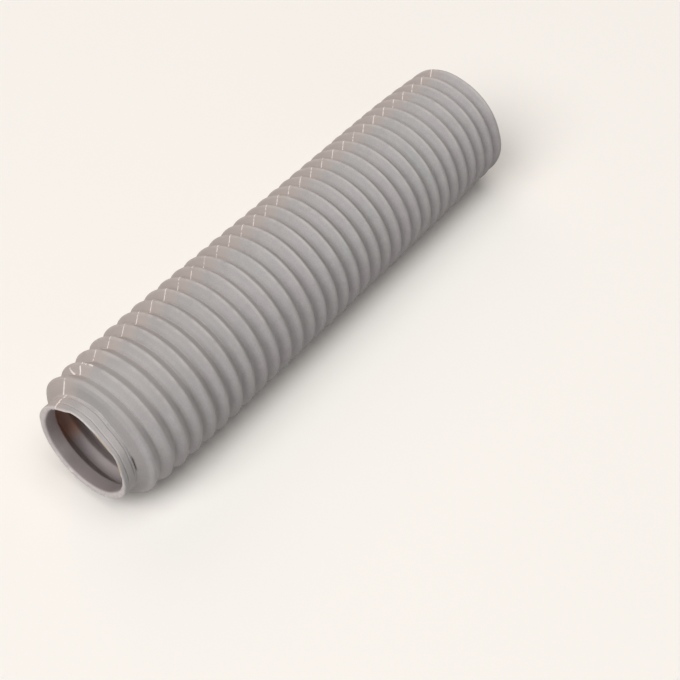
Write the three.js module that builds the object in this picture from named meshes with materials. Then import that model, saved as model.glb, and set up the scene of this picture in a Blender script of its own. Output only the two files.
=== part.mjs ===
// Fork gaiter: the moulded rubber bellows that slides over one leg of a telescopic fork.
// It is one revolved piece that lies on its side. The axis runs along X, with the large
// mouth at -X and the small collar at +X. Millimetres, +Z up, the floor at Z = 0.
import * as THREE from 'three';

// Folds. Each crest is a narrow land, each root a sharp valley.
const foldCount = 32;
const firstPitch = 11.8;       // first crest to the second, next to the cuff
const largeEndPitch = 10.65;   // second crest to the third
const smallEndPitch = 9.6;     // the last two crests
const crestLand = 1.4;
const crestDiameterLargeEnd = 80;
const crestDiameterSmallEnd = 77.9;
const foldDepth = 5.4;         // crest to root, on the radius

// The crests draw in towards both ends.
const largeEndDrawIn = 1.85;   // on the radius, at the first crest
const largeEndDrawInFolds = 6;
const smallEndDrawIn = 2.2;    // on the radius, at the last crest
const smallEndDrawInFolds = 5;

// Wall of the folds, through a flank, and the land where two flanks meet inside
const foldWall = 1.6;
const innerRootLand = 1.4;

// Large end: a thin plain mouth that slips over the fork's lower leg
const mouthBore = 54.4;
const mouthBoreLength = 8.8;
const cuffDiameter = 60.8;
const cuffLength = 9.2;
const lipRound = 0.9;          // outer edge of the lip
const mouthRound = 1;          // inner edge of the lip
const beadWidth = 2.9;         // lip face to the first fine groove
const ribPitch = 4.2;          // first fine groove to the second
const grooveWidth = 0.9;
const grooveDepth = 0.45;
const firstCrestToLip = 14.7;

// Small end: a thick collar with a groove for a clip, which grips the upper tube
const collarBore = 38;
const collarBoreLength = 7.4;
const collarDiameter = 52.4;
const collarWidth = 3.7;
const clipGrooveWidth = 1.3;
const clipGrooveDepth = 1.6;
const clipGrooveLean = 0.3;    // how far each side of the groove leans outwards
const shoulderDiameter = 63.6;
const shoulderRound = 2.3;
const lastFlankLength = 5.6;   // last crest to the shoulder, along the axis
const collarEdgeRound = 0.6;
const boreMouthRound = 2.2;

const aroundCount = 26;        // facets around the axis
const flatSpotDepth = 1;       // how far the widest crest settles where it lies on the floor

// Crests

function pitchAfter(fold) {
  if (fold === 0) return firstPitch;
  const share = (fold - 1) / Math.max(foldCount - 3, 1);
  return THREE.MathUtils.lerp(largeEndPitch, smallEndPitch, share);
}

function drawInAt(foldsFromEnd, drawIn, drawInFolds) {
  const left = Math.max(1 - foldsFromEnd / drawInFolds, 0);
  return drawIn * left * left;
}

function makeCrests() {
  const crests = [];
  let x = firstCrestToLip;
  for (let fold = 0; fold < foldCount; fold += 1) {
    const share = fold / (foldCount - 1);
    const taper = THREE.MathUtils.lerp(crestDiameterLargeEnd, crestDiameterSmallEnd, share) / 2;
    const r = taper
      - drawInAt(fold, largeEndDrawIn, largeEndDrawInFolds)
      - drawInAt(foldCount - 1 - fold, smallEndDrawIn, smallEndDrawInFolds);
    crests.push({ x, r });
    x += pitchAfter(fold);
  }
  return crests;
}

const crests = makeCrests();
const lastCrest = crests[foldCount - 1];

// Roots lie midway between the crests. The last flank ends on the collar's shoulder instead.
const roots = crests.slice(1).map((crest, fold) => (
  { x: (crests[fold].x + crest.x) / 2, r: (crests[fold].r + crest.r) / 2 - foldDepth }
));
const shoulder = { x: lastCrest.x + lastFlankLength, r: shoulderDiameter / 2 };

// The folds' outer radius at any x, and the height of the axis above the floor
const facetDrop = Math.cos(Math.PI / aroundCount);
const widestRadius = Math.max(...crests.map((crest) => crest.r));
const axisHeight = widestRadius * facetDrop - flatSpotDepth;
function foldRadiusAt(x) {
  const next = crests.findIndex((crest) => crest.x >= x);
  if (next === 0) return crests[0].r;
  if (next < 0) return lastCrest.r;
  const share = (x - crests[next - 1].x) / (crests[next].x - crests[next - 1].x);
  return THREE.MathUtils.lerp(crests[next - 1].r, crests[next].r, share);
}

// The end features, measured along X from the lip
const clipGrooveX = shoulder.x + shoulderRound;
const collarX = clipGrooveX + clipGrooveWidth;
const totalLength = collarX + collarWidth;

// A flank runs straight from a root to the edge of a crest's land.
// Its inner line lies one wall inside, and this gives that line's radius at any x.
function innerLine(root, crest) {
  const side = Math.sign(crest.x - root.x);
  const edgeX = crest.x - side * crestLand / 2;
  const slope = (crest.r - root.r) / (edgeX - root.x);
  const drop = foldWall * Math.hypot(1, slope);
  return (x) => root.r + slope * (x - root.x) - drop;
}

// A round edge as a short arc of straight steps, from one angle to another
function roundEdge(centreX, centreR, radius, fromAngle, toAngle, steps) {
  const points = [];
  for (let step = 0; step <= steps; step += 1) {
    const angle = THREE.MathUtils.lerp(fromAngle, toAngle, step / steps);
    points.push([centreX + radius * Math.cos(angle), centreR + radius * Math.sin(angle)]);
  }
  return points;
}

// The outside, from the lip to the collar's face

function cuffOutside() {
  const radius = cuffDiameter / 2;
  const points = roundEdge(lipRound, radius - lipRound, lipRound, Math.PI, Math.PI / 2, 2);
  for (const grooveX of [beadWidth, beadWidth + ribPitch]) {
    points.push([grooveX, radius]);
    points.push([grooveX + grooveWidth / 2, radius - grooveDepth]);
    points.push([grooveX + grooveWidth, radius]);
  }
  points.push([cuffLength, radius]);
  return points;
}

function foldsOutside() {
  return crests.flatMap((crest, fold) => {
    const land = [[crest.x - crestLand / 2, crest.r], [crest.x + crestLand / 2, crest.r]];
    const root = roots[fold];
    return root ? [...land, [root.x, root.r]] : land;
  });
}

function collarOutside() {
  const radius = collarDiameter / 2;
  const grooveRadius = radius - clipGrooveDepth;
  return [
    ...roundEdge(shoulder.x, shoulder.r - shoulderRound, shoulderRound, Math.PI / 2, 0, 3),
    [clipGrooveX + clipGrooveLean, grooveRadius],
    [collarX - clipGrooveLean, grooveRadius],
    [collarX, radius],
    [totalLength - collarEdgeRound, radius],
    [totalLength, radius - collarEdgeRound],
  ];
}

// The inside, from the collar's face back to the lip

function collarInside() {
  const bore = collarBore / 2;
  const edge = roundEdge(
    totalLength - boreMouthRound, bore + boreMouthRound, boreMouthRound, 0, -Math.PI / 2, 2,
  );
  const wall = innerLine(shoulder, lastCrest);
  const bendX = (lastCrest.x + shoulder.x) / 2;
  return [...edge, [totalLength - collarBoreLength, bore], [bendX, wall(bendX)]];
}

function foldsInside() {
  const points = [];
  const halfLand = innerRootLand / 2;
  for (let fold = foldCount - 1; fold >= 0; fold -= 1) {
    const crest = crests[fold];
    const rootAfter = roots[fold];
    const rootBefore = roots[fold - 1];
    const falling = innerLine(rootAfter ?? shoulder, crest);
    if (rootAfter) points.push([rootAfter.x - halfLand, falling(rootAfter.x - halfLand)]);
    points.push([crest.x, falling(crest.x)]);
    if (rootBefore) {
      const rising = innerLine(rootBefore, crest);
      points.push([rootBefore.x + halfLand, rising(rootBefore.x + halfLand)]);
    }
  }
  return points;
}

function mouthInside() {
  const bore = mouthBore / 2;
  const edge = roundEdge(
    mouthRound, bore + mouthRound, mouthRound, -Math.PI / 2, -Math.PI, 2,
  );
  return [[mouthBoreLength, bore], ...edge];
}

// The body

function makeGaiterGeometry() {
  const outline = [
    ...cuffOutside(), ...foldsOutside(), ...collarOutside(),
    ...collarInside(), ...foldsInside(), ...mouthInside(),
  ];
  outline.push(outline[0]);
  const profile = outline.map(([x, r]) => new THREE.Vector2(r, x - totalLength / 2));
  // Half a facet of turn lays one row of facets flat on the floor.
  const geometry = new THREE.LatheGeometry(profile, aroundCount, Math.PI / aroundCount);
  geometry.rotateZ(-Math.PI / 2);
  settleOnFloor(geometry);
  return geometry;
}

// Soft rubber settles under its own weight. The lowest row of facets, wall and all,
// is pushed up by as much as the folds there would reach below the floor.
function settleOnFloor(geometry) {
  const position = geometry.attributes.position;
  for (let i = 0; i < position.count; i += 1) {
    const y = position.getY(i);
    const z = position.getZ(i);
    const foldRadius = Math.max(foldRadiusAt(position.getX(i) + totalLength / 2), Math.hypot(y, z));
    const lift = Math.max(foldRadius * facetDrop - axisHeight, 0);
    if (Math.atan2(Math.abs(y), -z) < 2 * Math.PI / aroundCount) position.setZ(i, z + lift);
  }
}

function makeGaiter() {
  const rubber = new THREE.MeshStandardMaterial({ color: '#9c9896', roughness: 0.7, metalness: 0 });
  const gaiter = new THREE.Mesh(makeGaiterGeometry(), rubber);
  gaiter.name = 'fork_gaiter';
  gaiter.position.z = axisHeight;
  return gaiter;
}

const part = new THREE.Group();
part.add(makeGaiter());

export default part;
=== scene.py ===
import math

import bpy
import numpy as np
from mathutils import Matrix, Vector


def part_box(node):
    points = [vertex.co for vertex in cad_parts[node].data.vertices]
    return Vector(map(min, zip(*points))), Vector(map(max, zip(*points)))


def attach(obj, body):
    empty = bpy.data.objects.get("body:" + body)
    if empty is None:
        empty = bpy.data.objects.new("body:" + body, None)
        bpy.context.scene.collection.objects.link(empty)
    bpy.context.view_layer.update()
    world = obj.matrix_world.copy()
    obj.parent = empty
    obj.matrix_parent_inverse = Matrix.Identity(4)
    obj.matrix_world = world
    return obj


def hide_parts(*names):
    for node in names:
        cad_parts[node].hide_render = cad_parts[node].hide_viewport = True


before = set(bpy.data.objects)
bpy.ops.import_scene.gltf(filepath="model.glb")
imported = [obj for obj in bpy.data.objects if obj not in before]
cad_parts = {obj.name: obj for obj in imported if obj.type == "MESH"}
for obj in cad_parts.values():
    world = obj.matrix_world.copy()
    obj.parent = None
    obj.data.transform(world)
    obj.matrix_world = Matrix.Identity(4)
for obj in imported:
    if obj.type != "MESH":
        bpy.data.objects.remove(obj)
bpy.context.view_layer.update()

MM = 0.001

# The gaiter's sizes, in millimetres: the same ones that the solid is made from
FOLD_COUNT = 32
FIRST_PITCH = 11.8
LARGE_END_PITCH = 10.65
SMALL_END_PITCH = 9.6
CREST_DIAMETER_LARGE_END = 80
CREST_DIAMETER_SMALL_END = 77.9
LARGE_END_DRAW_IN = 1.85
LARGE_END_DRAW_IN_FOLDS = 6
SMALL_END_DRAW_IN = 2.2
SMALL_END_DRAW_IN_FOLDS = 5
FOLD_DEPTH = 5.4
CREST_LAND = 1.4
FOLD_WALL = 1.6
USUAL_SLOPE = 1.2  # rise over run, of a flank
FIRST_CREST_TO_LIP = 14.7
FACETS_AROUND = 26
FLAT_SPOT_DEPTH = 1

MOUTH_BORE = 54.4
MOUTH_BORE_LENGTH = 8.8
CUFF_DIAMETER = 60.8
CUFF_LENGTH = 9.2
BEAD_WIDTH = 2.9
RIB_PITCH = 4.2
GROOVE_WIDTH = 0.9
GROOVE_DEPTH = 0.45

COLLAR_BORE = 38
COLLAR_BORE_LENGTH = 7.4
COLLAR_DIAMETER = 52.4
COLLAR_WIDTH = 3.7
CLIP_GROOVE_WIDTH = 1.3
CLIP_GROOVE_DEPTH = 1.6
CLIP_GROOVE_LEAN = 0.3
SHOULDER_DIAMETER = 63.6
SHOULDER_ROUND = 2.3
SHOULDER_LEAN = 0.5
LAST_FLANK_LENGTH = 5.6

# This gaiter's first roots have opened, so they are shallower: the first by this share of its depth
FIRST_ROOT_SHALLOWER = 0.4
FIRST_ROOTS = 7

# How round the moulded edges are, in millimetres
CREST_ROUND = 1.15
FIRST_CREST_ROUND = 2.4
ROOT_ROUND = 0.8
INNER_CREST_ROUND = 0.7
INNER_ROOT_ROUND = 1.6
LIP_ROUND = 0.9
MOUTH_ROUND = 2.0
GROOVE_ROUND = 0.22
CUFF_CORNER_ROUND = 0.7
BORE_END_ROUND = 1.2
COLLAR_ROUND = 0.7
CLIP_GROOVE_ROUND = 0.25
BORE_MOUTH_ROUND = 2.2
LARGEST_ROUNDING = 0.48  # as a share of the shorter side beside the corner

# The longest step between two points of the section. Next to the mouth they carry fine wear.
STEP_NEAR_MOUTH = 0.45
STEP_OUTSIDE = 2.0
STEP_INSIDE = 3.5
STEP_SLACK = 0.15  # the part of a step that a side may be longer without getting one more

# The parting line of the mould, halfway along. Angles run from the top of the gaiter towards -Y.
PARTING_ANGLE = math.radians(-28.1)
# The sleeve lies a little twisted, so the line drifts from end to end.
PARTING_TWIST = math.radians(4.8)
# The mould's ring that shapes the cuff sat turned against the rest.
CUFF_JOG = math.radians(5)

# The flash that was squeezed out there, and how unevenly the soft wall came out of the mould
FLASH_HEIGHT = 0.22
FLASH_WIDTH = 0.75
FLASH_RAG_SIZE = 2.2
WAVER_HEIGHT = 0.3
WAVER_SIZE = 45

gaiter_low, gaiter_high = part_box("fork_gaiter")
TOTAL_LENGTH = (gaiter_high.x - gaiter_low.x) / MM
LIP_X = gaiter_low.x / MM


def pitch_after(fold):
    if fold == 0:
        return FIRST_PITCH
    share = (fold - 1) / (FOLD_COUNT - 3)
    return LARGE_END_PITCH + (SMALL_END_PITCH - LARGE_END_PITCH) * share


def draw_in(folds_from_end, amount, folds):
    return amount * max(1 - folds_from_end / folds, 0) ** 2


def crest_places():
    """The distance from the lip and the radius of each crest."""
    places = []
    x = FIRST_CREST_TO_LIP
    for fold in range(FOLD_COUNT):
        share = fold / (FOLD_COUNT - 1)
        taper = (CREST_DIAMETER_SMALL_END - CREST_DIAMETER_LARGE_END) * share
        radius = (CREST_DIAMETER_LARGE_END + taper) / 2
        radius -= draw_in(fold, LARGE_END_DRAW_IN, LARGE_END_DRAW_IN_FOLDS)
        radius -= draw_in(FOLD_COUNT - 1 - fold, SMALL_END_DRAW_IN, SMALL_END_DRAW_IN_FOLDS)
        places.append(Vector((x, radius)))
        x += pitch_after(fold)
    return places


def root_places(crests):
    """The roots, midway between the crests."""
    roots = []
    for fold, (before, after) in enumerate(zip(crests, crests[1:])):
        depth = FOLD_DEPTH * (1 - FIRST_ROOT_SHALLOWER * max(1 - fold / FIRST_ROOTS, 0))
        roots.append((before + after) / 2 - Vector((0, depth)))
    return roots


CRESTS = crest_places()
CREST_X = np.array([crest.x for crest in CRESTS])
ROOTS = root_places(CRESTS)
WIDEST_RADIUS = max(crest.y for crest in CRESTS)
AXIS_HEIGHT = WIDEST_RADIUS * math.cos(math.pi / FACETS_AROUND) - FLAT_SPOT_DEPTH


def beyond_crest(x):
    """How far each distance from the lip lies beyond the nearest crest."""
    return x - CREST_X[np.abs(x[:, None] - CREST_X).argmin(1)]


def flank_slope(root, crest):
    side = math.copysign(1, crest.x - root.x)
    return (crest.y - root.y) / (crest.x - side * CREST_LAND / 2 - root.x)


def crest_tip(root, crest, rounding):
    """Where the flanks would meet if the crest were sharp.

    It is set so that the crest's round top has the crest's radius.
    """
    angle = math.atan(abs(flank_slope(root, crest)))
    return crest.y + rounding * (1 / math.cos(angle) - 1)


def wall_drop(slope):
    """How much lower the inside of a flank lies than its outside."""
    return FOLD_WALL * math.hypot(1, slope)


# The section's corners, each as distance from the lip, radius, rounding and steps of the rounding

def cuff_corners():
    radius = CUFF_DIAMETER / 2
    corners = [(0, radius, LIP_ROUND, 5)]
    for groove in (BEAD_WIDTH, BEAD_WIDTH + RIB_PITCH):
        corners += [
            (groove, radius, GROOVE_ROUND, 2),
            (groove + GROOVE_WIDTH / 2, radius - GROOVE_DEPTH, GROOVE_ROUND, 2),
            (groove + GROOVE_WIDTH, radius, GROOVE_ROUND, 2),
        ]
    return corners + [(CUFF_LENGTH, radius, CUFF_CORNER_ROUND, 4)]


def outer_fold_corners():
    corners = []
    for fold, crest in enumerate(CRESTS):
        root = ROOTS[min(fold, len(ROOTS) - 1)]
        rounding = CREST_ROUND if fold else FIRST_CREST_ROUND
        corners.append((crest.x, crest_tip(root, crest, rounding), rounding, 4))
        if fold < len(ROOTS):
            corners.append((root.x, root.y, ROOT_ROUND, 3))
    return corners


SHOULDER = Vector((CRESTS[-1].x + LAST_FLANK_LENGTH, SHOULDER_DIAMETER / 2))


def collar_corners():
    radius = COLLAR_DIAMETER / 2
    groove_radius = radius - CLIP_GROOVE_DEPTH
    groove = SHOULDER.x + SHOULDER_ROUND
    collar = groove + CLIP_GROOVE_WIDTH
    face = collar + COLLAR_WIDTH
    bore = COLLAR_BORE / 2
    slope = flank_slope(SHOULDER, CRESTS[-1])
    bend = (CRESTS[-1].x + SHOULDER.x) / 2
    return [
        (groove - SHOULDER_LEAN, SHOULDER.y, SHOULDER_ROUND, 6),
        (groove + CLIP_GROOVE_LEAN, groove_radius, CLIP_GROOVE_ROUND, 3),
        (collar - CLIP_GROOVE_LEAN, groove_radius, CLIP_GROOVE_ROUND, 3),
        (collar, radius, COLLAR_ROUND, 4),
        (face, radius, COLLAR_ROUND, 5),
        (face, bore, BORE_MOUTH_ROUND, 6),
        (face - COLLAR_BORE_LENGTH, bore, BORE_END_ROUND, 3),
        (bend, SHOULDER.y + slope * (bend - SHOULDER.x) - wall_drop(slope), FOLD_WALL, 3),
    ]


def inner_fold_corners():
    corners = []
    for fold in reversed(range(FOLD_COUNT)):
        crest = CRESTS[fold]
        root = ROOTS[fold] if fold < len(ROOTS) else SHOULDER
        slope = flank_slope(root, crest)
        drop = wall_drop(slope)
        if fold < len(ROOTS):
            corners.append((root.x, root.y - drop, INNER_ROOT_ROUND, 3))
        corners.append((crest.x, root.y + slope * (crest.x - root.x) - drop, INNER_CREST_ROUND, 2))
    return corners


def mouth_corners():
    bore = MOUTH_BORE / 2
    return [(MOUTH_BORE_LENGTH, bore, BORE_END_ROUND, 3), (0, bore, MOUTH_ROUND, 5)]


def round_corner(before, corner, after, radius, steps):
    """The points of an arc that rounds a corner between its two neighbours."""
    to_before = before - corner
    to_after = after - corner
    half = to_before.angle(to_after) / 2
    shorter = min(to_before.length, to_after.length)
    reach = min(radius / math.tan(half), LARGEST_ROUNDING * shorter)
    radius = reach * math.tan(half)
    middle = (to_before.normalized() + to_after.normalized()).normalized()
    centre = corner + middle * radius / math.sin(half)
    first = corner + to_before.normalized() * reach - centre
    last = corner + to_after.normalized() * reach - centre
    sweep = first.angle(last)
    points = []
    for step in range(steps + 1):
        share = step / steps
        arm = first * math.sin((1 - share) * sweep) + last * math.sin(share * sweep)
        points.append(centre + arm / math.sin(sweep))
    return points


def section_points():
    """The closed outline of the gaiter's wall, as distance from the lip and radius.

    It runs along the outside from the lip to the collar and back along the inside.
    """
    outside = cuff_corners() + outer_fold_corners() + collar_corners()[:-3]
    inside = collar_corners()[-3:] + inner_fold_corners() + mouth_corners()
    corners = outside + inside
    places = [Vector(corner[:2]) for corner in corners]
    points = []
    for number, corner in enumerate(corners):
        radius, steps = corner[2:]
        before = places[number - 1]
        after = places[(number + 1) % len(places)]
        points += round_corner(before, places[number], after, radius, steps)
    filled = []
    face = max(range(len(points)), key=lambda number: points[number].x)
    for number, point in enumerate(points):
        after = points[(number + 1) % len(points)]
        if number > face:
            longest_step = STEP_INSIDE
        elif point.x < CRESTS[1].x:
            longest_step = STEP_NEAR_MOUTH
        else:
            longest_step = STEP_OUTSIDE
        parts = max(1, math.ceil((after - point).length / longest_step - STEP_SLACK))
        filled += [point.lerp(after, part / parts) for part in range(parts)]
    return np.array(filled)


def section_object():
    """The wall's outline in the XZ plane, as points joined by edges.

    Each point carries the wall's outward direction there, and what the finish reads.
    """
    points = section_points()
    count = len(points)
    along = np.roll(points, -1, 0) - np.roll(points, 1, 0)
    along /= np.linalg.norm(along, axis=1)[:, None]
    outward = np.column_stack([-along[:, 1], np.zeros(count), along[:, 0]])

    # The inside begins after the lowest of the farthest points, at the collar's face.
    x = points[:, 0]
    face = int(np.argmax(x - 0.001 * points[:, 1]))
    inside = (np.arange(count) > face).astype(float)

    # The height on the fold, from 0 in a root to 1 on a crest, and halfway on the plain ends
    fold_radius = np.interp(x, CREST_X, [crest.y for crest in CRESTS])
    local_crest = fold_radius - inside * wall_drop(USUAL_SLOPE)
    height = np.clip(1 - (local_crest - points[:, 1]) / FOLD_DEPTH, 0, 1)
    height[(x < CUFF_LENGTH) | (x > SHOULDER.x)] = 0.5
    # A crest's pale band, rubbed and partly painted highlight, lies most on its side towards the
    # mouth, and so does the ridge's behind the second groove.
    height[(beyond_crest(x) > 0.25) & (inside == 0)] *= 0.8
    ridge_x = BEAD_WIDTH + RIB_PITCH + GROOVE_WIDTH
    height[(x >= ridge_x) & (x <= CUFF_LENGTH) & (inside == 0)] = 1
    # The first flank's foot is kept above the dust and painted shade of the roots.
    first_flank = (x > CUFF_LENGTH) & (x < CRESTS[0].x)
    height[first_flank] = np.maximum(height[first_flank], 0.2)

    # The first point comes again at the end, so that the revolved body closes.
    order = np.append(np.arange(count), 0)
    mesh = bpy.data.meshes.new("gaiter section")
    places = [((x + LIP_X) * MM, 0, r * MM) for x, r in points[order]]
    mesh.from_pydata(places, [(i, i + 1) for i in range(count)], [])
    direction = mesh.attributes.new("outward", "FLOAT_VECTOR", "POINT")
    direction.data.foreach_set("vector", outward[order].ravel())
    read = {"inside": inside, "fold_height": height, "fold_radius": fold_radius * MM}
    for name, values in read.items():
        attribute = mesh.attributes.new(name, "FLOAT", "POINT")
        attribute.data.foreach_set("value", values[order])
    gaiter = bpy.data.objects.new("fork_gaiter_rubber", mesh)
    bpy.context.scene.collection.objects.link(gaiter)
    return gaiter


def add(tree, kind, inputs=None, **settings):
    """Adds a node with its settings, and sets or links its inputs, given by name or number."""
    node = tree.nodes.new(kind)
    for name, value in settings.items():
        setattr(node, name, value)
    for key, value in (inputs or {}).items():
        if isinstance(value, bpy.types.NodeSocket):
            tree.links.new(value, node.inputs[key])
        else:
            node.inputs[key].default_value = value
    return node


def revolve_tree():
    """Turns a section about the gaiter's axis, with the flash that the mould's halves left."""
    tree = bpy.data.node_groups.new("revolved bellows", "GeometryNodeTree")
    sockets = [
        ("Section", "NodeSocketGeometry", None),
        ("Steps Around", "NodeSocketInt", 112),
        ("Axis Height", "NodeSocketFloat", AXIS_HEIGHT * MM),
        ("Parting Angle", "NodeSocketFloat", PARTING_ANGLE),
        ("Parting Twist", "NodeSocketFloat", PARTING_TWIST / (TOTAL_LENGTH * MM)),
        ("Parting Crowding", "NodeSocketFloat", 0.88),
        ("Cuff End", "NodeSocketFloat", (LIP_X + CUFF_LENGTH) * MM),
        ("Cuff Jog", "NodeSocketFloat", CUFF_JOG),
        ("Flash Height", "NodeSocketFloat", FLASH_HEIGHT * MM),
        ("Flash Width", "NodeSocketFloat", FLASH_WIDTH * MM),
        ("Waver", "NodeSocketFloat", WAVER_HEIGHT * MM),
        ("Seed", "NodeSocketInt", 4),
        ("Rubber", "NodeSocketMaterial", None),
    ]
    for name, kind, value in sockets:
        socket = tree.interface.new_socket(name, in_out="INPUT", socket_type=kind)
        if value is not None:
            socket.default_value = value
    tree.interface.new_socket("Gaiter", in_out="OUTPUT", socket_type="NodeSocketGeometry")
    given = add(tree, "NodeGroupInput").outputs
    section = given["Section"]

    # A grid with a row for each point of the section and a column for each step around
    size = add(tree, "GeometryNodeAttributeDomainSize", {0: section}, component="MESH")
    rows = size.outputs["Point Count"]
    columns = add(tree, "ShaderNodeMath", {0: given["Steps Around"], 1: 1}, operation="ADD")
    grid = add(tree, "GeometryNodeMeshGrid", {
        "Size X": 1, "Size Y": 1, "Vertices X": rows, "Vertices Y": columns.outputs[0],
    })
    place = add(tree, "GeometryNodeInputPosition").outputs[0]
    grid_place = add(tree, "ShaderNodeSeparateXYZ", {0: place}).outputs
    last_row = add(tree, "ShaderNodeMath", {0: rows, 1: 1}, operation="SUBTRACT").outputs[0]
    row_share = add(tree, "ShaderNodeMath", {0: grid_place[0], 1: 0.5}, operation="ADD").outputs[0]
    row = add(tree, "ShaderNodeMath", {0: row_share, 1: last_row}, operation="MULTIPLY").outputs[0]
    row = add(tree, "FunctionNodeFloatToInt", {0: row}, rounding_mode="ROUND").outputs[0]

    # The steps around crowd together at the two parting lines, where the flash needs them.
    turn = add(tree, "ShaderNodeMath", {0: grid_place[1], 1: math.tau, 2: math.pi},
               operation="MULTIPLY_ADD").outputs[0]
    double = add(tree, "ShaderNodeMath", {0: turn, 1: 2}, operation="MULTIPLY").outputs[0]
    wave = add(tree, "ShaderNodeMath", {0: double}, operation="SINE").outputs[0]
    crowding = add(tree, "ShaderNodeMath", {0: given["Parting Crowding"], 1: -0.5},
                   operation="MULTIPLY").outputs[0]
    from_parting = add(tree, "ShaderNodeMath", {0: wave, 1: crowding, 2: turn},
                       operation="MULTIPLY_ADD").outputs[0]

    # The section's own values, read by row
    read = []
    for name, kind in (("position", "FLOAT_VECTOR"), ("outward", "FLOAT_VECTOR"), ("inside", "FLOAT"),
                       ("fold_height", "FLOAT"), ("fold_radius", "FLOAT")):
        value = place
        if name != "position":
            value = add(tree, "GeometryNodeInputNamedAttribute", {"Name": name},
                        data_type=kind).outputs[0]
        read.append(add(tree, "GeometryNodeSampleIndex", {
            "Geometry": section, "Value": value, "Index": row,
        }, data_type=kind).outputs[0])
    point, outward, inside, height, fold_radius = read
    point_parts = add(tree, "ShaderNodeSeparateXYZ", {0: point}).outputs
    angle = add(tree, "ShaderNodeMath", {
        0: point_parts[0], 1: given["Parting Twist"], 2: from_parting,
    }, operation="MULTIPLY_ADD").outputs[0]
    angle = add(tree, "ShaderNodeMath", {0: angle, 1: given["Parting Angle"]},
                operation="ADD").outputs[0]
    turned = add(tree, "ShaderNodeVectorRotate", {"Vector": point, "Angle": angle},
                 rotation_type="X_AXIS").outputs[0]
    direction = add(tree, "ShaderNodeVectorRotate", {"Vector": outward, "Angle": angle},
                    rotation_type="X_AXIS").outputs[0]

    # How far each point lies from the plane in which the mould's halves met
    on_cuff = add(tree, "ShaderNodeMath", {0: point_parts[0], 1: given["Cuff End"]},
                  operation="LESS_THAN").outputs[0]
    jog = add(tree, "ShaderNodeMath", {0: on_cuff, 1: given["Cuff Jog"]},
              operation="MULTIPLY").outputs[0]
    side = add(tree, "ShaderNodeMath", {0: from_parting, 1: jog}, operation="SUBTRACT").outputs[0]
    side = add(tree, "ShaderNodeMath", {0: side}, operation="SINE").outputs[0]
    parting = add(tree, "ShaderNodeMath", {0: side, 1: point_parts[2]},
                  operation="MULTIPLY").outputs[0]

    # The flash is a ridge on the outside along that plane, ragged where it was trimmed.
    seed = add(tree, "ShaderNodeMath", {0: given["Seed"], 1: 7.3}, operation="MULTIPLY").outputs[0]
    raggedness = add(tree, "ShaderNodeTexNoise", {
        "Vector": turned, "W": seed, "Scale": 1 / (FLASH_RAG_SIZE * MM), "Detail": 2,
    }, noise_dimensions="4D").outputs[0]
    ragged = add(tree, "ShaderNodeMapRange", {
        "Value": raggedness, "From Min": 0.3, "From Max": 0.7, "To Min": 0.35, "To Max": 1.3,
    }).outputs[0]
    reach = add(tree, "ShaderNodeMath", {0: given["Flash Width"], 1: 0.5},
                operation="MULTIPLY").outputs[0]
    away = add(tree, "ShaderNodeMath", {0: parting}, operation="ABSOLUTE").outputs[0]
    ridge = add(tree, "ShaderNodeMapRange", {
        "Value": away, "From Min": 0, "From Max": reach, "To Min": 1, "To Max": 0,
    }, interpolation_type="SMOOTHSTEP").outputs[0]
    outside = add(tree, "ShaderNodeMath", {0: 1, 1: inside}, operation="SUBTRACT").outputs[0]
    ridge = add(tree, "ShaderNodeMath", {0: ridge, 1: outside}, operation="MULTIPLY").outputs[0]
    ridge = add(tree, "ShaderNodeMath", {0: ridge, 1: ragged}, operation="MULTIPLY").outputs[0]
    flash = add(tree, "ShaderNodeMath", {0: ridge, 1: given["Flash Height"]},
                operation="MULTIPLY").outputs[0]
    push = add(tree, "ShaderNodeVectorMath", {0: direction, "Scale": flash},
               operation="SCALE").outputs[0]
    moved = add(tree, "ShaderNodeVectorMath", {0: turned, 1: push}, operation="ADD").outputs[0]

    # Soft rubber never comes out of the mould quite even: the whole wall wavers a little.
    # The noise stays mostly within 0.2 of its middle, so 2.5 times it spans about the waver's height.
    waver = add(tree, "ShaderNodeTexNoise", {
        "Vector": turned, "W": seed, "Scale": 1 / (WAVER_SIZE * MM), "Detail": 1.5,
    }, noise_dimensions="4D").outputs["Color"]
    waver = add(tree, "ShaderNodeVectorMath", {0: waver, 1: (0.5, 0.5, 0.5)},
                operation="SUBTRACT").outputs[0]
    waver_height = add(tree, "ShaderNodeMath", {0: given["Waver"], 1: 2.5},
                       operation="MULTIPLY").outputs[0]
    waver = add(tree, "ShaderNodeVectorMath", {0: waver, "Scale": waver_height},
                operation="SCALE").outputs[0]
    moved = add(tree, "ShaderNodeVectorMath", {0: moved, 1: waver}, operation="ADD").outputs[0]

    # Where the folds would reach below the floor, the whole wall is pushed up to it.
    cosine = add(tree, "ShaderNodeMath", {0: angle}, operation="COSINE").outputs[0]
    below = add(tree, "ShaderNodeMath", {0: cosine, 1: fold_radius, 2: given["Axis Height"]},
                operation="MULTIPLY_ADD").outputs[0]
    below = add(tree, "ShaderNodeMath", {0: below, 1: 0}, operation="MINIMUM").outputs[0]
    height_above = add(tree, "ShaderNodeMath", {0: given["Axis Height"], 1: below},
                       operation="SUBTRACT").outputs[0]
    lift = add(tree, "ShaderNodeCombineXYZ", {2: height_above}).outputs[0]
    moved = add(tree, "ShaderNodeVectorMath", {0: moved, 1: lift}, operation="ADD").outputs[0]
    moved = add(tree, "ShaderNodeVectorMath", {0: moved, 1: (-1, -1, 0)},
                operation="MAXIMUM").outputs[0]

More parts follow.
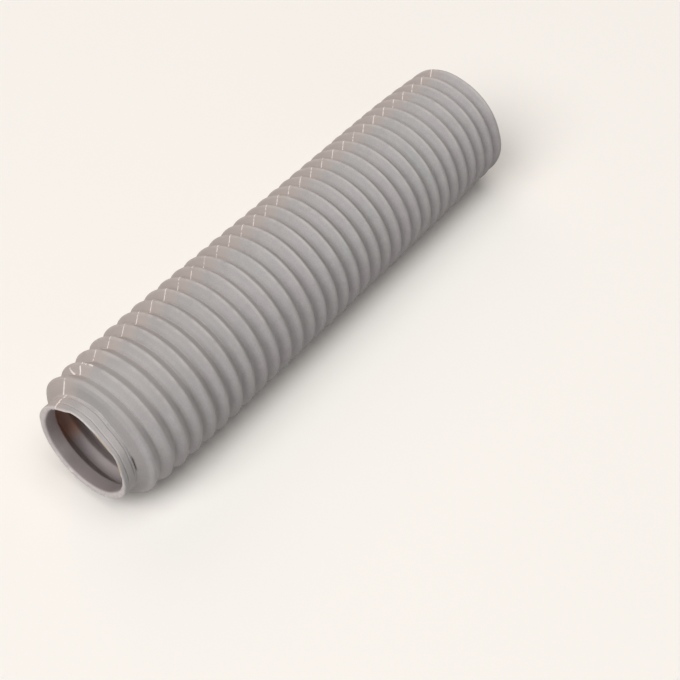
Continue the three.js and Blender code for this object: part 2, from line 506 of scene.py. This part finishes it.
    # Only what is stored before the grid is bent can still read the grid.
    body = grid.outputs["Mesh"]
    for name, value, kind in (
        ("inside", inside, "FLOAT"), ("fold_height", height, "FLOAT"), ("parting", parting, "FLOAT"),
        ("moved_to", moved, "FLOAT_VECTOR"),
    ):
        body = add(tree, "GeometryNodeStoreNamedAttribute", {
            "Geometry": body, "Name": name, "Value": value,
        }, data_type=kind, domain="POINT").outputs[0]
    target = add(tree, "GeometryNodeInputNamedAttribute", {"Name": "moved_to"},
                 data_type="FLOAT_VECTOR").outputs[0]
    body = add(tree, "GeometryNodeSetPosition", {"Geometry": body, "Position": target}).outputs[0]
    body = add(tree, "GeometryNodeMergeByDistance", {
        "Geometry": body, "Distance": 0.01 * MM,
    }).outputs[0]
    body = add(tree, "GeometryNodeFlipFaces", {"Mesh": body}).outputs[0]
    body = add(tree, "GeometryNodeSetShadeSmooth", {"Geometry": body}).outputs[0]
    body = add(tree, "GeometryNodeRealizeInstances", {"Geometry": body}).outputs[0]
    body = add(tree, "GeometryNodeSetMaterial", {
        "Geometry": body, "Material": given["Rubber"],
    }).outputs[0]
    add(tree, "NodeGroupOutput", {0: body})
    return tree


def linear(code):
    """An sRGB hex colour as linear RGBA."""
    channels = [int(code[i:i + 2], 16) / 255 for i in (1, 3, 5)]
    bent = [c / 12.92 if c <= 0.04045 else ((c + 0.055) / 1.055) ** 2.4 for c in channels]
    return (*bent, 1)


BARE_RUBBER = "#a5a2a1"

# The patterns in the rubber: what each one follows, its real size in millimetres and its detail.
# The grain of the mould's face is finer than this. It is drawn as coarse as it needs to show.
PATTERNS = {
    "bloom": ("place", 34, 3),
    "cloud": ("place", 7.5, 4),
    "blotch": ("place", 2.6, 3),
    "grain": ("place", 0.55, 2),
    "turning": ("ring", 0.8, 2),
    "streak": ("beside_parting", 0.42, 1),
    "wear": ("place", 6, 3),
    "tear": ("place", 1.3, 2),
}

# Where the lower lip is chipped, with a painted glint, as distance from the lip and angle in degrees
LIP_CHIP_GLINTS = [(0.2, -151.8), (0.2, -154.2)]
LIP_CHIP_GLINT_RADIUS = 27.6

# What lies over the bare rubber, from the first layer to the last: its colour, its strength, and the
# values that it follows, each with where it shows none of the colour and where it shows all of it
LAYERS = [
    # Wax and oil that have come out of the rubber with age, in patches of three sizes
    ("#a79f9f", 0.4, [("bloom", 0.42, 0.62)]),
    ("#9fa19e", 0.35, [("bloom", 0.52, 0.36)]),
    ("#afacaa", 0.5, [("cloud", 0.46, 0.72)]),
    ("#989594", 0.45, [("cloud", 0.5, 0.26)]),
    ("#b3afad", 0.35, [("blotch", 0.5, 0.75)]),
    # The rings that the mould was turned with, and its grain
    ("#989594", 0.25, [("turning", 0.5, 0.3)]),
    ("#bdb7b4", 0.42, [("grain", 0.5, 0.78)]),
    ("#827c7a", 0.42, [("grain", 0.5, 0.24)]),
    # Painted shade next to the mouth, for the shadow behind each crest: high on the flanks on top, and
    # low on all but their lee
    ("#989492", 0.5, [("fold_height", 0.45, 0.62), ("dust_and_root_shade", 0.5, 0.1), ("rubbed_and_lit_top", 0, 1),
                      ("outside", 0, 1)]),
    ("#8a8684", 0.5, [("fold_height", 0.6, 0.3), ("painted_lee_light", 1, 0), ("dust_and_root_shade", 0.5, 0.1),
                      ("outside", 0, 1)]),
    # Painted light on the shaded lee of those folds
    ("#c4bfbc", 0.45, [("painted_lee_light", 0, 1)]),
    # Dust and painted shade towards the small end: dark in the roots, thinner up the flanks
    ("#827e7c", 0.75, [("fold_height", 0.14, 0.0), ("dust_and_root_shade", 0, 1), ("outside", 0, 1)]),
    ("#8a8684", 0.35, [("fold_height", 0.5, 0.15), ("dust_and_root_shade", 0.3, 0.9), ("outside", 0, 1)]),
    # Painted shade on the crests low on the near side of the body
    ("#8a8684", 0.45, [("fold_height", 0.78, 1.0), ("rubbed_and_lit_top", 0.6, 0.0), ("outside", 0, 1)]),
    # The far side painted warm as its warm light, and the browned patch; the inside painted paler as
    # the light reaching in; and painted shade low inside the mouth
    ("#aca19b", 0.85, [("warm_light_side_and_patch", 0, 1)]),
    ("#aea3a2", 0.8, [("inside", 0, 1)]),
    ("#857b79", 0.6, [("painted_low_shade", 0, 1)]),
    # Crests rubbed pale and broken, with painted highlight on top, and fine streaks along the mould
    # line
    ("#bdb6b1", 0.5, [("fold_height", 0.78, 1.0), ("rubbed_and_lit_top", 0, 1), ("wear", 0.3, 0.62),
                      ("outside", 0, 1)]),
    ("#b5aca8", 0.35, [("from_parting", 7 * MM, 1 * MM), ("streak", 0.52, 0.7), ("outside", 0, 1)]),
    # The pale lip and the cuff's paler top, and the lip's yellowed and chipped places
    ("#c9c2bf", 0.5, [("lip_edge", 0, 0.8)]),
    ("#cdc5c1", 0.6, [("lip_edge", 0.7, 1), ("blotch", 0.3, 0.55)]),
    ("#b79f7c", 0.6, [("yellowing", 0, 1), ("blotch", 0.3, 0.6)]),
    # Rust from the clip, run down inside, and the open crease beside the cuff, painted dark as its
    # shade
    ("#b8917f", 0.85, [("rust", 0, 0.7)]),
    ("#b97a58", 0.4, [("rust", 0.5, 1), ("wear", 0.36, 0.6)]),
    ("#4a4240", 0.9, [("crease", 0, 1)]),
    # The nearly white flash, where it still stands and where it has torn loose, and the lip's chips
    # with their painted glint
    ("#e9deda", 0.95, [("from_parting", 0.5 * MM, 0.2 * MM), ("tear", 0.34, 0.52),
                       ("outside", 0, 1)]),
    ("#f3e9e3", 0.95, [("loose_flash", 0.6 * MM, 0.25 * MM)]),
    ("#e8dfd8", 0.9, [("from_chip_glint", 0.95 * MM, 0.45 * MM)]),
]


def moulded_rubber():
    """Compression-moulded rubber: matt, warm grey, chalked by age and mottled as its oils come out.

    Its edges that rub are paler and broken, partly painted highlight; dust and painted shade sit in
    the folds; and the mould's flash is nearly white.
    """
    material = bpy.data.materials.new("aged compression-moulded rubber")
    material.use_nodes = True
    tree = material.node_tree
    tree.nodes.clear()
    place = add(tree, "ShaderNodeTexCoord").outputs["Object"]
    values = {}
    for name in ("fold_height", "inside", "parting", "lip_edge", "rust", "yellowing", "crease",
                 "loose_flash", "warm_light_side_and_patch", "rubbed_and_lit_top", "dust_and_root_shade", "painted_low_shade", "painted_lee_light"):
        values[name] = add(tree, "ShaderNodeAttribute", attribute_name=name).outputs["Fac"]
    values["outside"] = add(tree, "ShaderNodeMath", {0: 1, 1: values["inside"]},
                            operation="SUBTRACT").outputs[0]
    values["from_parting"] = add(tree, "ShaderNodeMath", {0: values["parting"]},
                                 operation="ABSOLUTE").outputs[0]

    # Distance along and from the axis, which rings around the gaiter share, drifting a little
    low = add(tree, "ShaderNodeVectorMath", {0: place, 1: (0, 0, AXIS_HEIGHT * MM)},
              operation="SUBTRACT").outputs[0]
    parts = add(tree, "ShaderNodeSeparateXYZ", {0: low}).outputs
    across = add(tree, "ShaderNodeCombineXYZ", {1: parts[1], 2: parts[2]}).outputs[0]
    radius = add(tree, "ShaderNodeVectorMath", {0: across}, operation="LENGTH").outputs["Value"]
    ring = add(tree, "ShaderNodeCombineXYZ", {0: parts[0], 1: radius}).outputs[0]
    drift = add(tree, "ShaderNodeVectorMath", {0: place, "Scale": 0.05}, operation="SCALE").outputs[0]
    ring = add(tree, "ShaderNodeVectorMath", {0: ring, 1: drift}, operation="ADD").outputs[0]
    beside_parting = add(tree, "ShaderNodeCombineXYZ", {0: values["parting"], 1: drift}).outputs[0]

    followed = {"place": place, "ring": ring, "beside_parting": beside_parting}
    for name, (vector, size, detail) in PATTERNS.items():
        values[name] = add(tree, "ShaderNodeTexNoise", {
            "Vector": followed[vector], "Scale": 1 / (size * MM), "Detail": detail,
            "Roughness": 0.55,
        }).outputs[0]

    # How far each point lies from the nearest chip and its painted glint, or a metre where that is
    # farther
    values["from_chip_glint"] = 1.0
    for x, angle in LIP_CHIP_GLINTS:
        turn = math.radians(angle)
        up = AXIS_HEIGHT + LIP_CHIP_GLINT_RADIUS * math.cos(turn)
        chip_glint = Vector((LIP_X + x, -LIP_CHIP_GLINT_RADIUS * math.sin(turn), up)) * MM
        away = add(tree, "ShaderNodeVectorMath", {0: place, 1: chip_glint},
                   operation="DISTANCE").outputs["Value"]
        values["from_chip_glint"] = add(tree, "ShaderNodeMath", {0: values["from_chip_glint"], 1: away},
                                  operation="MINIMUM").outputs[0]

    # A colour mix has its factor first and its two colours as inputs 6 and 7.
    colour = linear(BARE_RUBBER)
    for code, strength, follows in LAYERS:
        share = strength
        for name, none, full in follows:
            share = add(tree, "ShaderNodeMapRange", {
                "Value": values[name], "From Min": none, "From Max": full,
                "To Min": 0, "To Max": share,
            }, interpolation_type="SMOOTHSTEP").outputs[0]
        colour = add(tree, "ShaderNodeMix", {0: share, 6: colour, 7: linear(code)},
                     data_type="RGBA").outputs[2]

    # The bloom dulls the surface unevenly, and the patterns stand up by about a tenth of a millimetre.
    roughness = add(tree, "ShaderNodeMapRange", {
        "Value": values["cloud"], "From Min": 0.3, "From Max": 0.7, "To Min": 0.55, "To Max": 0.72,
    }).outputs[0]
    relief = values["grain"]
    for name, amount in (("turning", 0.6), ("blotch", 0.8)):
        relief = add(tree, "ShaderNodeMath", {0: values[name], 1: amount, 2: relief},
                     operation="MULTIPLY_ADD").outputs[0]
    bump = add(tree, "ShaderNodeBump", {
        "Height": relief, "Strength": 0.5, "Distance": 0.12 * MM,
    }).outputs[0]
    shader = add(tree, "ShaderNodeBsdfPrincipled", {
        "Base Color": colour, "Roughness": roughness, "IOR": 1.5, "Normal": bump,
    })
    add(tree, "ShaderNodeOutputMaterial", {0: shader.outputs[0]})
    return material


def spread(values, none, full):
    """How far each value has come from none to full, eased at both ends."""
    share = np.clip((values - none) / (full - none), 0, 1)
    return share * share * (3 - 2 * share)


def between(values, first, last, ease):
    """One from first to last, eased out to none over a distance at each end."""
    return spread(values, first - ease, first) * spread(values, last + ease, last)


def around(angle, bands):
    """The sum of bands, each an amount from one angle to another, with its ease, in degrees."""
    return sum(amount * between(angle, first, last, ease) for amount, first, last, ease in bands)


# Marks of wear on this one gaiter. Angles run from its top, negative on the far side.

# How much wall the lip has lost at its bore, and how much thicker it is where it hasn't worn
LIP_WORN = 3.2
LIP_THICKENED = 1.1
LESS_WORN = [(-0.8, -34, -27, 6)]

# How much the lip's lower far edge has lost, and how far it droops and ripples on the near side
LIP_WORN_LOW = 0.8
LIP_DROOP = 0.1
LIP_RIPPLE = 0.25

# How far the lip is torn back, in bands as around() takes them, and where it is ragged as well
LIP_TORN = [(0.2, 26, 34, 8), (0.5, 54, 64, 8), (-1.6, -22, -13, 8), (-0.3, 13, 19, 8)]
LIP_RAGGED = [(0.5, -24, -8, 3)]

# How far the cuff is pushed back, the last folds are pressed wider and the collar leans back
CUFF_PUSHED_BACK = [(1.2, -14, 12, 22), (-0.6, 76, 100, 20)]
LAST_FOLDS_WIDER = [(1.3, 98, 120, 30), (0.8, -28, -12, 25)]
COLLAR_LEAN = 1.5

# How far the first folds have sagged: wider on the far side, the one at the cuff more so, and
# flatter above that
FOLDS_WIDER = 1.0
FIRST_FOLD_WIDER = 0.5
FOLDS_FLATTER = 0.35

CREASE_DEPTH = 0.5
CRACK_DEPTH = 0.2
LOOSE_FLASH_HEIGHT = 0.25

# The curls and crumbs of the torn flash, as distance from the lip and angle in degrees
LOOSE_FLASH = [
    [(24.7, -47.9), (23.5, -46.0), (22.4, -42.1), (21.3, -37.5), (20.6, -33.5)],
    [(24.6, -30.6), (23.4, -28.9), (22.2, -27.2), (20.4, -25.6)],
    [(26.0, -29.1)], [(26.2, -26.6)], [(25.9, -24.1)], [(26.1, -21.2)], [(26.2, -18.2)],
    [(26.0, -15.7)],
]

# How far the mould line wanders over the cuff and up the first flank, at distances from the lip
WANDER_X = [0, 2, 5, 9.2, 14.7, 18]
WANDER = [-0.2, -1.5, -2.6, -2.2, -0.7, 0]


class Points:
    """Where each point of the mesh lies, in millimetres from the lip and in degrees from the top."""

    def __init__(self, mesh):
        count = len(mesh.vertices)
        self.place = np.empty(count * 3)
        mesh.vertices.foreach_get("co", self.place)
        self.place = self.place.reshape(count, 3) / MM
        self.inside = np.empty(count)
        mesh.attributes["inside"].data.foreach_get("value", self.inside)
        self.outside = 1 - self.inside
        self.parting = np.empty(count)
        mesh.attributes["parting"].data.foreach_get("value", self.parting)
        self.x = self.place[:, 0] - LIP_X
        across = self.place[:, 1:] - [0, AXIS_HEIGHT]
        self.radius = np.linalg.norm(across, axis=1)
        self.out = across / self.radius[:, None]
        self.angle = np.degrees(np.arctan2(-across[:, 0], across[:, 1]))
        self.along = np.radians(self.angle) * CRESTS[1].y


def wear_lip(at):
    """How far the lip is pushed back and drawn in: worn, torn beside the mould line and pulled."""
    # It is thin and set back at the upper right, and thick and turned in on the other side.
    thin = LIP_WORN * spread(at.angle, -68, -18) * spread(at.angle, 142, 62) - LIP_THICKENED
    thin += around(at.angle, LESS_WORN)
    near_bore = spread(at.radius, CUFF_DIAMETER / 2 - 0.4, MOUTH_BORE / 2 + 0.6)
    thinning = thin * near_bore * spread(at.x, 7.5, 0.5)

    # It droops where it has been pulled off the leg, and its lower far edge has rubbed away.
    pulled = between(at.angle, 66, 108, 16) * spread(at.x, 7, 0)
    drawn_in = pulled * (LIP_DROOP + LIP_RIPPLE * np.sin(at.angle * 0.5))
    worn_low = between(at.angle, -132, -84, 12) * spread(at.x, 3, 0.5)
    worn_low *= at.radius > MOUTH_BORE / 2 + 1.2

    rag = 0.55 + 0.45 * np.sin(at.angle * 1.9) * np.cos(at.angle * 0.83 + 1)
    torn = around(at.angle, LIP_TORN) + around(at.angle, LIP_RAGGED) * rag
    return torn * spread(at.x, 4, 0), drawn_in + LIP_WORN_LOW * worn_low - thinning


def crack_cuff(at):
    """The share of painted shade and the depth of the open crease at the back of the cuff and its
    cracked grooves.
    """
    from_crease = np.abs(at.x - CUFF_LENGTH - 0.1)
    crease = between(at.angle, 71, 85, 3) * spread(from_crease, 0.5, 0.1) * at.outside
    depth = CREASE_DEPTH * crease
    for groove in (BEAD_WIDTH, BEAD_WIDTH + RIB_PITCH):
        from_groove = np.abs(at.x - groove - GROOVE_WIDTH / 2)
        crack = between(at.angle, 74, 90, 6) * at.outside * spread(from_groove, 0.45, 0.1)
        depth += CRACK_DEPTH * crack
        crease = np.maximum(crease, 0.5 * crack)
    return crease, depth


def sag_folds(at):
    """How far the folds have drawn in: the first ones sagged, the last ones lay pressed."""
    sagged = between(at.angle, -112, -74, 30) * spread(at.x, 10, 14)
    wider = sagged * (FOLDS_WIDER * spread(at.x, 190, 20) + FIRST_FOLD_WIDER * spread(at.x, 26, 18))
    flatter = between(at.angle, -54, -40, 22) * spread(at.x, 100, 30) * spread(at.x, 16, 20)
    at_end = spread(at.x, CRESTS[-4].x, CRESTS[-1].x)
    at_end *= spread(at.x, SHOULDER.x + 6, SHOULDER.x - 2)
    return FOLDS_FLATTER * flatter - wider - around(at.angle, LAST_FOLDS_WIDER) * at_end


def from_loose_flash(at):
    """How far each point outside lies from the curls and crumbs, or 9 mm where that is farther."""
    nearest = np.full(len(at.x), 9.0)
    for curl in LOOSE_FLASH:
        corners = [np.array([x, math.radians(angle) * CRESTS[1].y]) for x, angle in curl]
        for start, end in zip(corners, corners[1:] + corners[-1:]):
            reach = end - start
            share = (at.x - start[0]) * reach[0] + (at.along - start[1]) * reach[1]
            share = np.clip(share / max(reach @ reach, 0.01), 0, 1)
            gap = np.hypot(at.x - start[0] - share * reach[0], at.along - start[1] - share * reach[1])
            nearest = np.minimum(nearest, gap)
    nearest[at.inside == 1] = 9
    return nearest


def from_standing_flash(at):
    """The distance from the mould line, changed where its flash is gone or stands thicker."""
    gone = between(at.x, CRESTS[0].x + 0.2, CRESTS[1].x - 1, 0.6) * at.outside
    parting = np.where(gone > 0, np.hypot(at.parting, 3 * MM * gone), at.parting)
    # It is thickest on the cuff and the first flank, so its line is wider there.
    return parting * (1 - 0.4 * spread(at.x, 18, 14))


def stains(at):
    """How strongly each stain, rubbed place, painted light and painted shade shows."""
    # The lip's face is pale, and the cuff is paler from its top round towards the near side.
    lip_edge = between(at.radius, MOUTH_BORE / 2 + 0.2, CUFF_DIAMETER / 2 + 1, 0.4)
    lip_edge *= spread(at.x, 1.5, 0.1)
    paler_cuff_top = (0.4 + 0.3 * between(at.angle, 38, 52, 12)) * between(at.angle, 2, 55, 14)
    lip_edge = np.maximum(lip_edge, paler_cuff_top * spread(at.x, 8, 6.8) * at.outside)
    yellowing = between(at.angle, 29.5, 48, 5) * spread(at.x, 1.2, 0.2)
    yellowing = np.maximum(yellowing, between(at.angle, 63, 74, 3) * spread(at.x, 1.6, 0.3))

    # The far side is painted warmer, as the warm light on it, and the patch under the torn flash has
    # browned.
    warm_light_side_and_patch = spread(at.angle, -4, -26) * spread(at.angle, -150, -90)
    patch = between(at.along, -32, -24, 2) * between(at.x, CRESTS[1].x - 5, CRESTS[1].x - 1, 1)
    warm_light_side_and_patch = np.maximum(warm_light_side_and_patch, 1.3 * patch) * at.outside

    # Painted shade lies low inside the mouth, and a little of it at the foot of the first flank.
    painted_low_shade = at.inside * spread(at.out[:, 1], -0.55, -0.9) * spread(at.x, 12, 7)
    foot = at.outside * spread(at.x, 13.5, 10.3) * (at.x > CUFF_LENGTH + 0.4)
    painted_low_shade = np.maximum(painted_low_shade, 0.22 * foot)

    # Painted light on the far sides of the first folds, in the shade behind each crest, fading low on
    # the near side.
    painted_lee_light = at.outside * spread(beyond_crest(at.x), 0.1, 0.7) * spread(at.x, 200, 90)
    painted_lee_light *= spread(at.angle, 66, 32)

    # Rust has run down inside, from where the fork leg's clip sat.
    rust = between(at.angle, -118, -66, 24) * between(at.x, 10.5, 22, 3)
    faint = 0.35 * between(at.angle, -110, 5, 25) * between(at.x, 11, 45, 8)
    return {
        "lip_edge": lip_edge, "yellowing": yellowing, "warm_light_side_and_patch": warm_light_side_and_patch, "painted_low_shade": painted_low_shade, "painted_lee_light": painted_lee_light,
        "rust": at.inside * np.maximum(rust, faint),
        # The top side, where crests are rubbed pale and lit, and dust and root shade growing towards
        # the small end
        "rubbed_and_lit_top": spread(at.angle, 65, 35), "dust_and_root_shade": spread(at.x, 10, 240),
    }


def mark(mesh):
    """Gives the moulded shape the wear of this one gaiter, and stores where each stain, painted light
    and painted shade shows.
    """
    at = Points(mesh)
    push, shrink = wear_lip(at)
    crease, depth = crack_cuff(at)
    loose_flash = from_loose_flash(at)

    # The cuff sits a little crooked: pushed back at the top and forward on the near side.
    push += around(at.angle, CUFF_PUSHED_BACK) * spread(at.x, 14.5, 9.5)
    # The collar leans back towards the mouth, most at its upper near side.
    lean = COLLAR_LEAN * (1 + np.cos(np.radians(at.angle - 40)))
    push -= lean * spread(at.x, CRESTS[-1].x + 1, SHOULDER.x)
    shrink += sag_folds(at) + depth - LOOSE_FLASH_HEIGHT * spread(loose_flash, 0.6, 0.1)
    slide = np.interp(at.x, WANDER_X, WANDER) * between(at.angle, -40, -18, 12) * at.outside

    place = at.place
    place[:, 0] += push
    place[:, 1:] -= at.out * shrink[:, None]
    place[:, 1:] += np.column_stack([-at.out[:, 1], at.out[:, 0]]) * slide[:, None]
    mesh.vertices.foreach_set("co", (place * MM).ravel())
    mesh.attributes["parting"].data.foreach_set("value", from_standing_flash(at))
    marks = {"crease": crease, "loose_flash": loose_flash * MM, **stains(at)}
    for name, values in marks.items():
        mesh.attributes.new(name, "FLOAT", "POINT").data.foreach_set("value", values)
    mesh.update()


def gaiter():
    """The whole gaiter as one closed mesh."""
    piece = section_object()
    tree = revolve_tree()
    rubber = moulded_rubber()
    modifier = piece.modifiers.new("revolve", "NODES")
    modifier.node_group = tree
    for item in tree.interface.items_tree:
        if item.name == "Rubber":
            modifier[item.identifier] = rubber
    bpy.context.view_layer.update()
    evaluated = piece.evaluated_get(bpy.context.evaluated_depsgraph_get())
    mesh = bpy.data.meshes.new_from_object(evaluated)
    piece.modifiers.remove(modifier)
    mark(mesh)
    piece.data = mesh
    return piece


# The photograph's viewpoint: its place from the axis at the first crest, and where it looks
CAMERA_FROM_FIRST_CREST = Vector((-277.281, -368.719, 574.303))
CAMERA_HEADING = 52.37
CAMERA_DOWN = 48.35
CAMERA_LENS = 74.466


def heading(turn, up):
    """A direction from its turn from +Y towards +X and its rise, both in degrees."""
    turn = math.radians(turn)
    up = math.radians(up)
    return Vector((math.sin(turn) * math.cos(up), math.cos(turn) * math.cos(up), math.sin(up)))


def camera():
    first_crest = Vector((CRESTS[0].x + LIP_X, 0, AXIS_HEIGHT))
    data = bpy.data.cameras.new("camera")
    data.sensor_width = 36
    data.lens = CAMERA_LENS
    data.clip_end = 50
    shot = bpy.data.objects.new("camera", data)
    shot.location = (first_crest + CAMERA_FROM_FIRST_CREST) * MM
    shot.rotation_euler = heading(CAMERA_HEADING, -CAMERA_DOWN).to_track_quat("-Z", "Y").to_euler()
    bpy.context.scene.collection.objects.link(shot)
    bpy.context.scene.camera = shot


FLOOR_REACH = 6  # in metres


def background_seen(tree):
    """One for the rays that see the pale background: the camera's, glossy ones and those in glass."""
    rays = add(tree, "ShaderNodeLightPath").outputs
    seen = rays["Is Camera Ray"]
    for kind in ("Is Glossy Ray", "Is Transmission Ray"):
        seen = add(tree, "ShaderNodeMath", {0: seen, 1: rays[kind]}, operation="MAXIMUM").outputs[0]
    return seen


def floor():
    mesh = bpy.data.meshes.new("floor")
    corners = [(-1, -1), (1, -1), (1, 1), (-1, 1)]
    mesh.from_pydata([(x * FLOOR_REACH, y * FLOOR_REACH, 0) for x, y in corners], [], [(0, 1, 2, 3)])
    board = bpy.data.objects.new("floor", mesh)
    bpy.context.scene.collection.objects.link(board)
    material = bpy.data.materials.new("pale paper floor")
    material.use_nodes = True
    tree = material.node_tree
    tree.nodes.clear()
    # Matt card: greyer where it lights the gaiter than where it is seen, and seen a little brighter.
    lit = add(tree, "ShaderNodeBsdfDiffuse", {"Color": linear("#dcdad9")})
    glow = add(tree, "ShaderNodeEmission", {"Color": linear("#fdf6f0"), "Strength": 0.04})
    seen_lit = add(tree, "ShaderNodeBsdfDiffuse", {"Color": linear("#f5f1eb")})
    seen = add(tree, "ShaderNodeAddShader", {0: seen_lit.outputs[0], 1: glow.outputs[0]})
    shader = add(tree, "ShaderNodeMixShader", {
        0: background_seen(tree), 1: lit.outputs[0], 2: seen.outputs[0],
    })
    add(tree, "ShaderNodeOutputMaterial", {0: shader.outputs[0]})
    mesh.materials.append(material)


# Softboxes: name, turn from +Y towards +X and height above the floor in degrees, colour, watts
SOFTBOXES = [
    ("softbox_at_mouth", 270, 48, "#ffffff", 985),
    ("softbox_overhead", 190, 77, "#ffffff", 610),
    ("softbox_far_side", 20, 45, "#ffe6da", 200),
    ("softbox_low_right", 212, 20, "#eef2ff", 90),
]
SOFTBOX_SIZE = 7.7  # in metres, as is the distance
SOFTBOX_DISTANCE = 12.0
ROOM_LIGHT = 0.06


def lights():
    for name, turn, height, colour, watts in SOFTBOXES:
        data = bpy.data.lights.new(name, "AREA")
        data.size = SOFTBOX_SIZE
        data.color = linear(colour)[:3]
        data.energy = watts
        lamp = bpy.data.objects.new(name, data)
        away = heading(turn, height)
        lamp.location = away * SOFTBOX_DISTANCE
        lamp.rotation_euler = (-away).to_track_quat("-Z", "Y").to_euler()
        bpy.context.scene.collection.objects.link(lamp)
    world = bpy.data.worlds.new("studio")
    world.use_nodes = True
    bpy.context.scene.world = world
    tree = world.node_tree
    tree.nodes.clear()
    sky = add(tree, "ShaderNodeBackground", {"Color": linear("#ffffff"), "Strength": ROOM_LIGHT})
    paper = add(tree, "ShaderNodeBackground", {"Color": linear("#fdf7f2"), "Strength": 1.0})
    seen = add(tree, "ShaderNodeMixShader", {
        0: background_seen(tree), 1: sky.outputs[0], 2: paper.outputs[0],
    })
    add(tree, "ShaderNodeOutputWorld", {0: seen.outputs[0]})


bpy.context.scene.view_settings.view_transform = "Standard"
camera()
floor()
lights()
sleeve = gaiter()
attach(sleeve, "root")
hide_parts("fork_gaiter")
